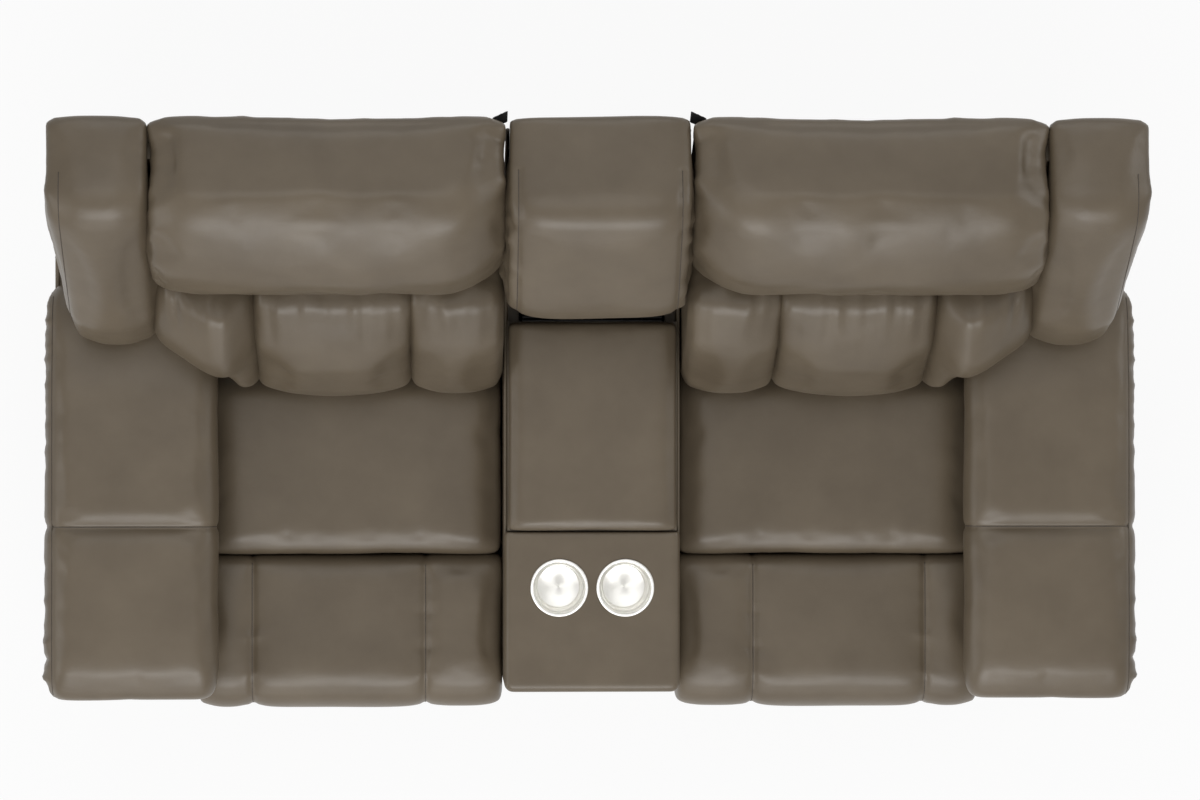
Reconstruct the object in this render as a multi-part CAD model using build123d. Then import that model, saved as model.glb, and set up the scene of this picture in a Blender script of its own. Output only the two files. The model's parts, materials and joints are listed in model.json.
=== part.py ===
"""Power reclining loveseat with a storage console between its two seats.

Frame: +X to the right of someone facing the seat, +Y to the rear, +Z up, origin on the floor
under the middle of the overall box. Millimetres. The right-hand seat is modelled and the left-hand
one is its mirror image. Each back is modelled upright about its hinge and then leaned to its rake.
"""
import math
import os

from build123d import *

# Console between the seats
CONSOLE_WIDTH = 310.0
CONSOLE_FRONT_Y = -482.0
CONSOLE_REAR_Y = 330.0
CONSOLE_TOP_Z = 585.0
CONSOLE_BOARD = 18.0
CONSOLE_SKIN = 8.0
CONSOLE_FRONT_PAD = 20.0
DECK_BOARD = 15.0
DECK_PAD = 21.0
STORAGE_FLOOR_Z = 240.0
STORAGE_REAR_Y = 186.0
LID_FRONT_Y = -198.0
LID_REAR_Y = 170.0
LID_BOARD = 13.0
LID_PAD = 30.0
LID_INSET = 6.0
CUP_SPACING = 116.0
CUP_Y = -298.0
CUP_FLANGE_R = 51.0
CUP_R = 43.0
CUP_WALL = 1.2
CUP_DEPTH = 72.0
LID_PIN_R = 3.0
LID_KNUCKLE_R = 5.5
LID_PIN_Y = 178.0
LID_PIN_Z = 592.0

# Seats
CONSOLE_GAP = 4.0
SIDE_GAP = 8.0
SEAT_WIDTH = 534.0
SEAT_FRONT_Y = -519.0
SEAT_CREASE_Y = -245.0
SEAT_REAR_Y = 150.0
SEAT_CROWN_Z = 484.0
SEAT_RAIL_TOP_Z = 372.0
SEAT_RAIL_HEIGHT = 42.0
SEAT_RAIL = 22.0
SEAT_RAIL_FRONT_Y = -420.0
SEAT_RAIL_REAR_Y = 197.0
SPRING_WIRE_R = 2.0
SPRING_COUNT = 4
SPRING_PITCH = 34.0
SPRING_HALF_WIDTH = 26.0
BOLSTER_DROP = 20.0
PANEL_SEAM_IN = 134.0
PANEL_SEAM_OUT = 443.0

# Arms
ARM_WIDTH = 244.0
ARM_FRONT_Y = -490.0
ARM_REAR_Y = 300.0
ARM_TOP_Z = 560.0
ARM_SKIN = 10.0
ARM_BOARD = 16.0
ARM_OVERHANG_IN = 54.0
ARM_OVERHANG_OUT = 20.0
ARM_PILLOW = 78.0
ARM_PILLOW_REAR_Y = 235.0
ARM_SEAM_Y = -190.0

# Base
FOOT_HEIGHT = 40.0
FOOT_R = 25.0
BASE_RAIL_HEIGHT = 26.0
CROSS_RAIL_DEPTH = 40.0
CROSS_RAIL_FRONT_Y = -400.0
CROSS_RAIL_REAR_Y = 255.0
VALANCE_TOP_Z = 368.0
VALANCE = 10.0

# Backs, in the upright frame whose origin is the hinge
HINGE_Z = 385.0
BACK_RAKE = 22.0
BACK_FRAME = 30.0
BACK_FRAME_TOP = 600.0
BACK_COVER = 36.0
BACK_COVER_BOTTOM = 28.0
BACK_STILE = 40.0
HEAD_BOTTOM = 394.0
HEAD_TOP = 645.0
HEAD_INNER_DRAW = 34.0
HEAD_CORNER = 100.0
HEAD_FRONT = 216.0
LUMBAR_FRONT = 260.0
LUMBAR_BOTTOM = 24.0
LUMBAR_CROWN = 88.0
LUMBAR_OVER_ARM = 206.0
LUMBAR_LIFT = 32.0
LUMBAR_FALL = 60.0
LUMBAR_SEAM_IN = 318.0
LUMBAR_SEAM_OUT = 588.0
LUMBAR_OUTER_X = 757.0
WING_OUTER_X = 932.0
WING_BOTTOM = 203.0
WING_FRONT = 226.0
CONSOLE_BACK_HALF = 152.0
CONSOLE_BACK_FRONT = 250.0
EAR_IN_X = 154.0
EAR_OUT_X = 180.0
EAR_BOTTOM = 585.0
EAR_TOP = 625.0
EAR_SEAT = 2.5
EAR_REACH = 50.0
EAR_THICKNESS = 3.0

# Recliner mechanism
PLATE = 5.0
LINK = 4.0
LINK_WIDTH = 28.0
LINK_PLANE_GAP = 1.0
PIVOT_R = 6.0
HINGE_PIN_R = 8.0
RUNNING_CLEARANCE = 0.06
REAR_PIVOT_Y = -250.0
REAR_PIVOT_Z = 310.0
REAR_LINK_LENGTH = 220.0
REAR_LINK_ANGLE = -100.0
BOARD_PIVOT_Z = 230.0
BOARD_PIVOT_BACKSET = 14.0
FOOTREST_BOARD = 14.0
FOOTREST_PAD = 60.0
FOOTREST_BOTTOM_Z = 85.0
FOOTREST_GAP = 6.0
TORQUE_TUBE_R = 10.0
TORQUE_TUBE_AT = 60.0
CARRIAGE_REST_Y = -100.0
CARRIAGE_LENGTH = 50.0

# Seat switches
SWITCH_Y = -180.0
SWITCH_Z = 523.0
SWITCH_LENGTH = 92.0
SWITCH_HEIGHT = 42.0
SWITCH_PLATE = 5.0
BUTTON_R = 9.0
BUTTON_SPACING = 40.0
BUTTON_PROUD = 3.0
BUTTON_TRAVEL = 1.5
BUTTON_CLEARANCE = 0.3

# Clearance between a soft piece and what it rests on, its inside corner, and the gap to a neighbour
REST_GAP = 0.3
CORNER_R = 0.5
SOFT_GAP = 3.0

CONSOLE_X = CONSOLE_WIDTH / 2
SEAT_IN_X = CONSOLE_X + CONSOLE_GAP
SEAT_OUT_X = SEAT_IN_X + SEAT_WIDTH
SEAT_MID_X = (SEAT_IN_X + SEAT_OUT_X) / 2
ARM_IN_X = SEAT_OUT_X + SIDE_GAP
ARM_OUT_X = ARM_IN_X + ARM_WIDTH
BASE_TOP_Z = FOOT_HEIGHT + BASE_RAIL_HEIGHT
PLATE_IN = SEAT_WIDTH / 2 - SIDE_GAP / 2 - SEAT_RAIL - PLATE
REAR_LINK_IN = PLATE_IN - LINK_PLANE_GAP - LINK
FRONT_LINK_IN = REAR_LINK_IN - LINK_PLANE_GAP - LINK
BRACKET_IN = FRONT_LINK_IN - LINK_PLANE_GAP - LINK
SPRING_Z = SEAT_RAIL_TOP_Z + REST_GAP + SPRING_WIRE_R
CUSHION_BASE_Z = SPRING_Z + SPRING_WIRE_R + REST_GAP
BOLSTER_BOTTOM_Z = SEAT_RAIL_TOP_Z - BOLSTER_DROP
BOARD_REAR_Y = SEAT_RAIL_FRONT_Y - FOOTREST_BOARD + 2
PILLOW_BASE_Z = ARM_TOP_Z + REST_GAP
WING_INNER_X = LUMBAR_OUTER_X + REST_GAP

# The hinge stands where the rearmost point, the tip of an ear, is as far back as the seat is forward
RAKE = math.radians(BACK_RAKE)
HINGE_Y = -SEAT_FRONT_Y - EAR_TOP * math.sin(RAKE) - EAR_REACH * math.cos(RAKE)


def board(x0, x1, y0, y1, z0, z1):
    """A box between two corners."""
    low = (Align.MIN, Align.MIN, Align.MIN)
    return Pos(x0, y0, z0) * Box(x1 - x0, y1 - y0, z1 - z0, align=low)


def rod_x(y, z, radius, x0, x1):
    """A round bar along X."""
    return Pos((x0 + x1) / 2, y, z) * Rot(0, 90, 0) * Cylinder(radius, x1 - x0)


def rod_y(x, z, radius, y0, y1):
    """A round bar along Y."""
    return Pos(x, (y0 + y1) / 2, z) * Rot(90, 0, 0) * Cylinder(radius, y1 - y0)


def section_x(x, outline, radii):
    """A face across X from (y, z) corners, each rounded by its radius."""
    plane = Plane((x, 0, 0), x_dir=(0, 1, 0), z_dir=(1, 0, 0))
    return plane * make_face(FilletPolyline(*outline, radius=radii, close=True).edges())


def section_y(y, outline, radii):
    """A face across Y from (x, z) corners, each rounded by its radius."""
    plane = Plane((0, y, 0), x_dir=(1, 0, 0), z_dir=(0, -1, 0))
    return plane * make_face(FilletPolyline(*outline, radius=radii, close=True).edges())


def plate_x(x0, x1, outline, radii):
    """A flat plate across X with rounded corners."""
    return extrude(section_x(x0, outline, radii), amount=x1 - x0)


def eased(value, start, end):
    """0 at the start, 1 at the end, level at both."""
    share = min(1.0, max(0.0, (value - start) / (end - start)))
    return share * share * (3 - 2 * share)


def pillow(stations, section, end_draw, seam_draw, roll):
    """A padded form along one axis, drawn in at its ends and at each sewn channel between stations.

    section(position, draw) gives the face at a position, drawn in by that many millimetres.
    """
    whole = None
    last = len(stations) - 1
    for index in range(last):
        start, stop = stations[index], stations[index + 1]
        draw_start = end_draw if index == 0 else seam_draw
        draw_stop = end_draw if index == last - 1 else seam_draw
        half = (stop - start) / 2
        reach = min(roll, 0.6 * half)
        inward = [
            (0.0, 1.0),
            (0.35 * reach, 0.45),
            (reach, 0.1),
            (reach + 0.25 * (half - reach), 0.04),
            (reach + 0.6 * (half - reach), 0.01),
        ]
        steps = [(start + place, share * draw_start) for place, share in inward]
        steps.append((start + half, 0.0))
        steps += [(stop - place, share * draw_stop) for place, share in reversed(inward)]
        panel = loft([section(position, draw) for position, draw in steps])
        whole = panel if whole is None else whole + panel
    return whole


def leaned(shape):
    """Leans an upright back piece to its rake about the hinge."""
    return Pos(0, HINGE_Y, HINGE_Z) * Rot(-BACK_RAKE, 0, 0) * shape


def at_both_sides(make):
    """A pair of pieces at both sides of one seat, from a function of the side, -1 or +1."""
    return [make(-1), make(1)]


def across(side, near, far):
    """The two X limits of a plate that stands at near to far from the seat's middle."""
    ends = sorted((SEAT_MID_X + side * near, SEAT_MID_X + side * far))
    return ends[0], ends[1]


# Base, feet and power supply
def base_rails():
    solids = []
    half = ARM_IN_X
    for y in (CROSS_RAIL_FRONT_Y, CROSS_RAIL_REAR_Y):
        solids.append(board(-half, half, y, y + CROSS_RAIL_DEPTH, FOOT_HEIGHT, BASE_TOP_Z))
    y0, y1 = CROSS_RAIL_FRONT_Y + CROSS_RAIL_DEPTH, CROSS_RAIL_REAR_Y
    for side in (-1, 1):
        x0, x1 = across(side, REAR_LINK_IN - 2, PLATE_IN + PLATE + 8)
        rail = board(x0, x1, y0, y1, FOOT_HEIGHT, BASE_TOP_Z)
        solids += [rail, mirror(rail, about=Plane.YZ)]
    return solids


def feet():
    places = []
    for y in (ARM_FRONT_Y + 70, ARM_REAR_Y - 60):
        places += [((ARM_IN_X + ARM_OUT_X) / 2, y)]
    for y in (CROSS_RAIL_FRONT_Y, CROSS_RAIL_REAR_Y):
        places += [(CONSOLE_X, y + CROSS_RAIL_DEPTH / 2)]
    foot = Pos(0, 0, FOOT_HEIGHT / 2) * Cone(FOOT_R * 0.8, FOOT_R, FOOT_HEIGHT)
    return [Pos(side * x, y, 0) * foot for x, y in places for side in (-1, 1)]


def power_supply():
    y1 = CROSS_RAIL_REAR_Y
    z1 = BASE_TOP_Z - REST_GAP
    case = board(-60, 60, y1 - 58, y1, FOOT_HEIGHT, z1)
    case = fillet(case.edges().filter_by(Axis.Z).group_by(Axis.Y)[0], 8)
    inlet = board(-14, 14, y1 - 12, y1, z1 - 17, z1 - 3)
    return [case - inlet]


def rear_valance():
    y0 = CROSS_RAIL_REAR_Y + CROSS_RAIL_DEPTH
    panel = board(SEAT_IN_X, ARM_IN_X, y0, y0 + VALANCE, FOOT_HEIGHT, VALANCE_TOP_Z)
    return [panel, mirror(panel, about=Plane.YZ)]


# Arms
def arm_frame():
    x0, x1 = ARM_IN_X + ARM_SKIN, ARM_OUT_X - ARM_SKIN
    y0, y1 = ARM_FRONT_Y + ARM_SKIN, ARM_REAR_Y - ARM_SKIN
    t = ARM_BOARD
    z0, z1 = FOOT_HEIGHT, ARM_TOP_Z
    return [
        board(x0, x0 + t, y0 + t, y1 - t, z0 + t, z1 - t),
        board(x1 - t, x1, y0 + t, y1 - t, z0 + t, z1 - t),
        board(x0, x1, y0, y0 + t, z0 + t, z1 - t),
        board(x0, x1, y1 - t, y1, z0 + t, z1 - t),
        board(x0, x1, y0, y1, z1 - t, z1),
        board(x0, x1, y0, y1, z0, z0 + t),
    ]


def arm_cover():
    outside = board(ARM_IN_X, ARM_OUT_X, ARM_FRONT_Y, ARM_REAR_Y, FOOT_HEIGHT, ARM_TOP_Z)
    inside = board(
        ARM_IN_X + ARM_SKIN,
        ARM_OUT_X - ARM_SKIN,
        ARM_FRONT_Y + ARM_SKIN,
        ARM_REAR_Y - ARM_SKIN,
        FOOT_HEIGHT,
        ARM_TOP_Z,
    )
    return [fillet(outside.edges().filter_by(Axis.Z), ARM_SKIN * 0.9) - inside]


def arm_pillow():
    x0, x1 = ARM_IN_X - ARM_OVERHANG_IN, ARM_OUT_X + ARM_OVERHANG_OUT
    z0, z1 = PILLOW_BASE_Z, PILLOW_BASE_Z + ARM_PILLOW
    rear_drop = 30.0
    radii = [4, 4, 22, 34, 34, 22]

    def section(y, draw):
        back = max(0.0, (y - ARM_SEAM_Y) / (ARM_PILLOW_REAR_Y - ARM_SEAM_Y))
        top = z1 - draw - rear_drop * back**3
        outline = [
            (ARM_IN_X + 8, z0),
            (ARM_OUT_X - 8, z0),
            (x1 - 0.5 * draw, z0 + 0.38 * (top - z0)),
            (x1 - 18 - 0.7 * draw, top),
            (x0 + 18 + 0.7 * draw, top),
            (x0 + 0.5 * draw, z0 + 0.38 * (top - z0)),
        ]
        return section_y(y, outline, [r * (top - z0) / ARM_PILLOW for r in radii])

    stations = [ARM_FRONT_Y - 4, ARM_SEAM_Y, ARM_PILLOW_REAR_Y]
    return [pillow(stations, section, end_draw=30, seam_draw=5, roll=45)]


# Seat switches on the inner face of each arm
def switch_plates():
    outline = [
        (SWITCH_Y - SWITCH_LENGTH / 2, SWITCH_Z - SWITCH_HEIGHT / 2),
        (SWITCH_Y + SWITCH_LENGTH / 2, SWITCH_Z - SWITCH_HEIGHT / 2),
        (SWITCH_Y + SWITCH_LENGTH / 2, SWITCH_Z + SWITCH_HEIGHT / 2),
        (SWITCH_Y - SWITCH_LENGTH / 2, SWITCH_Z + SWITCH_HEIGHT / 2),
    ]
    plate = plate_x(ARM_IN_X - SWITCH_PLATE, ARM_IN_X, outline, 10)
    for side in (-1, 1):
        y = SWITCH_Y + side * BUTTON_SPACING / 2
        plate -= rod_x(y, SWITCH_Z, BUTTON_R + BUTTON_CLEARANCE, ARM_IN_X - SWITCH_PLATE, ARM_IN_X)
    return [plate, mirror(plate, about=Plane.YZ)]


def button(side):
    y = SWITCH_Y + side * BUTTON_SPACING / 2
    face = ARM_IN_X - SWITCH_PLATE - BUTTON_PROUD
    cap = rod_x(y, SWITCH_Z, BUTTON_R, face, ARM_IN_X - BUTTON_TRAVEL - BUTTON_CLEARANCE)
    return [fillet(cap.edges().group_by(Axis.X)[0], 1.2)]


# Seat
def seat_frame():
    x0, x1 = SEAT_MID_X - PLATE_IN - PLATE - SEAT_RAIL, SEAT_MID_X + PLATE_IN + PLATE + SEAT_RAIL
    z0, z1 = SEAT_RAIL_TOP_Z - SEAT_RAIL_HEIGHT, SEAT_RAIL_TOP_Z
    y0, y1 = SEAT_RAIL_FRONT_Y, SEAT_RAIL_REAR_Y
    t = SEAT_RAIL
    return [
        board(x0, x0 + t, y0 + t, y1, z0, z1),
        board(x1 - t, x1, y0 + t, y1, z0, z1),
        board(x0, x1, y0, y0 + t, z0, z1),
        board(SEAT_MID_X - PLATE_IN, SEAT_MID_X + PLATE_IN, y1 - t, y1, z0, z1),
    ]


def seat_springs():
    """Sinuous wires from the front rail to the rear rail."""
    start = SEAT_RAIL_FRONT_Y + SEAT_RAIL / 2
    stop = SEAT_RAIL_REAR_Y - SEAT_RAIL / 2
    turns = int((stop - start) / SPRING_PITCH)
    step = (stop - start) / turns
    spacing = SEAT_WIDTH / (SPRING_COUNT + 0.6)
    wires = []
    for number in range(SPRING_COUNT):
        x = SEAT_MID_X + (number - (SPRING_COUNT - 1) / 2) * spacing
        points = [(x, start, SPRING_Z)]
        for turn in range(turns):
            side = SPRING_HALF_WIDTH * (1 if turn % 2 else -1)
            points.append((x + side, start + (turn + 0.2) * step, SPRING_Z))
            points.append((x + side, start + (turn + 0.8) * step, SPRING_Z))
        points.append((x, stop, SPRING_Z))
        path = FilletPolyline(*points, radius=0.28 * step)
        profile = Plane(path @ 0, z_dir=path % 0) * Circle(SPRING_WIRE_R)
        wires.append(sweep(profile, path=path))
    return wires


def seat_cushion():
    z0 = CUSHION_BASE_Z
    x0, x1 = SEAT_IN_X - 2, SEAT_OUT_X - 2
    radii = [4, 14, 60, 26, 12]

    def section(x, draw):
        outline = [
            (SEAT_REAR_Y, z0),
            (SEAT_REAR_Y, z0 + 14),
            (SEAT_REAR_Y - 96, SEAT_CROWN_Z - 4 - draw),
            (SEAT_CREASE_Y + REST_GAP / 2, SEAT_CROWN_Z - draw),
            (SEAT_CREASE_Y + REST_GAP / 2, z0),
        ]
        return section_x(x, outline, radii)

    return [pillow([x0, x1], section, end_draw=22, seam_draw=0, roll=60)]


def panel_stations(x0, x1):
    """Ends of a front pad and its two sewn channels."""
    return [x0, SEAT_IN_X + PANEL_SEAM_IN, SEAT_IN_X + PANEL_SEAM_OUT, x1]


def seat_bolster():
    z0 = CUSHION_BASE_Z
    rail_face = SEAT_RAIL_FRONT_Y - REST_GAP

    def section(x, draw):
        outline = [
            (SEAT_CREASE_Y - REST_GAP / 2, z0),
            (SEAT_CREASE_Y - REST_GAP / 2, SEAT_CROWN_Z - 16 - 0.6 * draw),
            (SEAT_FRONT_Y + draw, SEAT_CROWN_Z - 8 - draw),
            (SEAT_FRONT_Y + draw, BOLSTER_BOTTOM_Z),
            (rail_face, BOLSTER_BOTTOM_Z),
            (rail_face, z0),
        ]
        return section_x(x, outline, [10, 26, 62, 26, 3, CORNER_R])

    stations = panel_stations(SEAT_IN_X - 2, ARM_IN_X - SOFT_GAP)
    return [pillow(stations, section, end_draw=12, seam_draw=7, roll=34)]


def seat_plate(side):
    """Steel side plate that carries the seat frame, the links and the back hinge."""
    ear = 22.0
    x0, x1 = across(side, PLATE_IN, PLATE_IN + PLATE)
    leg_front, leg_rear = -40.0, SEAT_RAIL_REAR_Y - 47
    outline = [
        (REAR_PIVOT_Y - 35, SEAT_RAIL_TOP_Z),
        (REAR_PIVOT_Y - 35, REAR_PIVOT_Z - 25),
        (leg_front - 80, REAR_PIVOT_Z - 25),
        (leg_front, BASE_TOP_Z + REST_GAP),
        (leg_rear, BASE_TOP_Z + REST_GAP),
        (HINGE_Y + ear, HINGE_Z - ear),
        (HINGE_Y + ear, HINGE_Z + ear),
        (HINGE_Y - ear, HINGE_Z + ear),
        (SEAT_RAIL_REAR_Y - 47, SEAT_RAIL_TOP_Z),
    ]
    plate = plate_x(x0, x1, outline, [12, 12, 20, 12, 12, 18, 20, 20, 20])
    plate -= rod_x(HINGE_Y, HINGE_Z, HINGE_PIN_R + RUNNING_CLEARANCE, x0 - 1, x1 + 1)
    plate -= rod_x(REAR_PIVOT_Y, REAR_PIVOT_Z, PIVOT_R + RUNNING_CLEARANCE, x0 - 1, x1 + 1)
    return plate


# Footrest linkage
def swung(y, z, length, angle):
    """The point at a length from a pivot, at an angle above straight forward."""
    turn = math.radians(angle)
    return y - length * math.cos(turn), z + length * math.sin(turn)


ELBOW_Y, ELBOW_Z = swung(REAR_PIVOT_Y, REAR_PIVOT_Z, REAR_LINK_LENGTH, REAR_LINK_ANGLE)
BOARD_PIVOT_Y = BOARD_REAR_Y + BOARD_PIVOT_BACKSET


def link_bar(x0, x1, start, stop):
    """A flat bar with round ends between two pivots."""
    middle = ((start[0] + stop[0]) / 2, (start[1] + stop[1]) / 2)
    length = math.dist(start, stop)
    slope = math.degrees(math.atan2(stop[1] - start[1], stop[0] - start[0]))
    plane = Plane((x0, middle[0], middle[1]), x_dir=(0, 1, 0), z_dir=(1, 0, 0))
    shape = plane * Rot(0, 0, slope) * SlotCenterToCenter(length, LINK_WIDTH)
    return extrude(shape, amount=x1 - x0)


def pivot_pin(y, z, radius, x0, x1, head_side):
    """A pin along X with a flat head beyond one end."""
    head = 2.5
    pin = rod_x(y, z, radius, x0, x1)
    edge = x1 if head_side > 0 else x0 - head
    return pin + rod_x(y, z, radius + 4, edge, edge + head)


def rear_links():
    solids = []
    elbow = (ELBOW_Y, ELBOW_Z)
    pivot = (REAR_PIVOT_Y, REAR_PIVOT_Z)
    for side in (-1, 1):
        x0, x1 = across(side, REAR_LINK_IN, REAR_LINK_IN + LINK)
        bar = link_bar(x0, x1, pivot, elbow)
        bar -= rod_x(*pivot, PIVOT_R, x0 - 1, x1 + 1)
        bar -= rod_x(*elbow, PIVOT_R, x0 - 1, x1 + 1)
        solids.append(bar)
        pin0, pin1 = across(side, REAR_LINK_IN, PLATE_IN + PLATE)
        solids.append(rod_x(*pivot, PIVOT_R, pin0, pin1))
        pin0, pin1 = across(side, FRONT_LINK_IN, REAR_LINK_IN + LINK)
        solids.append(rod_x(*elbow, PIVOT_R, pin0, pin1))
    y, z = swung(*pivot, TORQUE_TUBE_AT, REAR_LINK_ANGLE)
    solids.append(rod_x(y, z, TORQUE_TUBE_R, SEAT_MID_X - REAR_LINK_IN, SEAT_MID_X + REAR_LINK_IN))
    return solids


def front_links():
    solids = []
    elbow = (ELBOW_Y, ELBOW_Z)
    pivot = (BOARD_PIVOT_Y, BOARD_PIVOT_Z)
    for side in (-1, 1):
        x0, x1 = across(side, FRONT_LINK_IN, FRONT_LINK_IN + LINK)
        bar = link_bar(x0, x1, elbow, pivot)
        bar -= rod_x(*elbow, PIVOT_R + RUNNING_CLEARANCE, x0 - 1, x1 + 1)
        bar -= rod_x(*pivot, PIVOT_R, x0 - 1, x1 + 1)
        pin0, pin1 = across(side, BRACKET_IN, FRONT_LINK_IN + LINK)
        solids += [bar, rod_x(*pivot, PIVOT_R, pin0, pin1)]
    return solids


def footrest_board():
    x0, x1 = SEAT_IN_X + 12, SEAT_OUT_X - 6
    z0, z1 = FOOTREST_BOTTOM_Z + 6, BOLSTER_BOTTOM_Z - FOOTREST_GAP - 8
    solids = [board(x0, x1, BOARD_REAR_Y - FOOTREST_BOARD, BOARD_REAR_Y, z0, z1)]
    reach = BOARD_PIVOT_BACKSET + LINK_WIDTH / 2
    outline = [
        (BOARD_REAR_Y, BOARD_PIVOT_Z - 40),
        (BOARD_REAR_Y + reach, BOARD_PIVOT_Z - 14),
        (BOARD_REAR_Y + reach, BOARD_PIVOT_Z + 14),
        (BOARD_REAR_Y, BOARD_PIVOT_Z + 40),
    ]
    for side in (-1, 1):
        b0, b1 = across(side, BRACKET_IN, BRACKET_IN + LINK)
        bracket = plate_x(b0, b1, outline, [1, 10, 10, 1])
        bracket -= rod_x(BOARD_PIVOT_Y, BOARD_PIVOT_Z, PIVOT_R + RUNNING_CLEARANCE, b0 - 1, b1 + 1)
        solids.append(bracket)
    return solids


def footrest_pad():
    rear = BOARD_REAR_Y - FOOTREST_BOARD - REST_GAP
    front = rear - FOOTREST_PAD
    z0, z1 = FOOTREST_BOTTOM_Z, BOLSTER_BOTTOM_Z - FOOTREST_GAP

    def section(x, draw):
        outline = [
            (rear, z0 + 0.3 * draw),
            (rear, z1 - 0.3 * draw),
            (front + draw, z1 - 0.3 * draw),
            (front + draw, z0 + 0.3 * draw),
        ]
        return section_x(x, outline, [4, 4, 26, 26])

    stations = panel_stations(SEAT_IN_X + 5, ARM_IN_X - SOFT_GAP)
    return [pillow(stations, section, end_draw=18, seam_draw=6, roll=32)]


# Actuator
def actuator_motor():
    z = REAR_PIVOT_Z + TORQUE_TUBE_AT * math.sin(math.radians(REAR_LINK_ANGLE))
    rail = board(SEAT_MID_X - 18, SEAT_MID_X + 18, -215, 96, z - 10, z + 10)
    gearbox = board(SEAT_MID_X - 32, SEAT_MID_X + 32, 96, 160, z - 30, z + 40)
    gearbox = fillet(gearbox.edges().filter_by(Axis.Z), 8)
    motor = rod_x(128, z + 5, 26, SEAT_MID_X + 32, SEAT_MID_X + 132)
    hanger = board(
        SEAT_MID_X - 20,
        SEAT_MID_X + 20,
        SEAT_RAIL_REAR_Y - SEAT_RAIL - 25,
        SEAT_RAIL_REAR_Y - SEAT_RAIL,
        z + 10,
        SEAT_RAIL_TOP_Z - 4,
    )
    lug = board(SEAT_MID_X - 20, SEAT_MID_X + 20, 160, SEAT_RAIL_REAR_Y - SEAT_RAIL, z - 20, z + 10)
    return [rail, gearbox, motor, hanger + lug - gearbox]


def actuator_carriage():
    z = REAR_PIVOT_Z + TORQUE_TUBE_AT * math.sin(math.radians(REAR_LINK_ANGLE))
    y1 = CARRIAGE_REST_Y
    y0 = y1 - CARRIAGE_LENGTH
    block = board(SEAT_MID_X - 28, SEAT_MID_X + 28, y0, y1, z - 20, z + 24)
    slot = board(SEAT_MID_X - 18.3, SEAT_MID_X + 18.3, y0 - 1, y1 + 1, z - 10.3, z + 10.3)
    tube_y = swung(REAR_PIVOT_Y, REAR_PIVOT_Z, TORQUE_TUBE_AT, REAR_LINK_ANGLE)[0]
    rods = [
        rod_y(SEAT_MID_X + side * 23, z, 4.5, tube_y + TORQUE_TUBE_R + 0.8, y0) for side in (-1, 1)
    ]
    return [block - slot, *rods]


# Backs, modelled upright about the hinge
def back_frame():
    x_in = SEAT_MID_X - PLATE_IN + LINK_PLANE_GAP + PLATE
    x_out = SEAT_MID_X + PLATE_IN - LINK_PLANE_GAP - PLATE
    wing = wing_stile_x()
    s, t, top = BACK_STILE, BACK_FRAME, BACK_FRAME_TOP
    low = BACK_COVER_BOTTOM
    pieces = [
        board(x_in, x_in + s, -t, 0, low - 14, top),
        board(x_out - s, x_out, -t, 0, low - 14, top),
        board(wing - s, wing, -t, 0, WING_BOTTOM + 30, top),
        board(x_in + s, x_out - s, -t, 0, low, low + s),
        board(x_in + s, x_out - s, -t, 0, low + 180, low + 180 + s),
        board(x_in + s, x_out - s, -t, 0, top - s, top),
        board(x_out, wing - s, -t, 0, top - s, top),
        board(x_out, wing - s, -t, 0, WING_BOTTOM + 30, WING_BOTTOM + 30 + s),
    ]
    return [leaned(p) for p in pieces]


def back_hinges():
    outline = [(-30, 180), (-30, 20), (-20, -20), (20, -20), (20, 16), (-1, 26), (-1, 180)]
    pieces = []
    for side in (-1, 1):
        x0, x1 = across(side, PLATE_IN - LINK_PLANE_GAP - PLATE, PLATE_IN - LINK_PLANE_GAP)
        bracket = plate_x(x0, x1, outline, [4, 10, 18, 18, 18, 6, 4])
        bracket -= rod_x(0, 0, HINGE_PIN_R, x0 - 1, x1 + 1)
        pin0, pin1 = across(side, PLATE_IN - LINK_PLANE_GAP - PLATE, PLATE_IN + PLATE + REST_GAP)
        pin = pivot_pin(0, 0, HINGE_PIN_R, pin0, pin1, side)
        pieces += [bracket, pin]
    return [leaned(p) for p in pieces]


def back_cover():
    x0, x1, x2 = SEAT_IN_X + 6, SEAT_OUT_X, WING_OUTER_X - 6
    low, step, top = BACK_COVER_BOTTOM, WING_BOTTOM + 12, BACK_FRAME_TOP
    outline = [(x0, low), (x1, low), (x1, step), (x2, step), (x2, top), (x0, top)]
    panel = section_y(0, outline, [30, 30, 10, 40, 40, 40])
    solid = extrude(panel, amount=-BACK_COVER)
    rear = solid.faces().sort_by(Axis.Y)[-1]
    solid = fillet(rear.edges(), 16)
    side = board(wing_stile_x(), x2, -BACK_FRAME, 0, step, top - 40)
    under = board(x1, wing_stile_x(), -BACK_FRAME, 0, step, WING_BOTTOM + 30)
    return [leaned(solid + side + under), leaned(back_ear())]


def back_ear():
    """Dark flap that flares out behind the inner upper corner of a back."""
    near = BACK_COVER + REST_GAP - EAR_SEAT
    outline = [
        (EAR_OUT_X, near),
        (EAR_OUT_X, near + EAR_THICKNESS),
        (EAR_IN_X, EAR_REACH),
        (EAR_IN_X, EAR_REACH - EAR_THICKNESS),
    ]
    plane = Plane((0, 0, EAR_BOTTOM), x_dir=(1, 0, 0), z_dir=(0, 0, 1))
    return extrude(plane * make_face(Polyline(*outline, close=True).edges()), amount=EAR_TOP - EAR_BOTTOM)


def wing_stile_x():
    """Outer face of the wing's stile."""
    return WING_OUTER_X - 22


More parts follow.
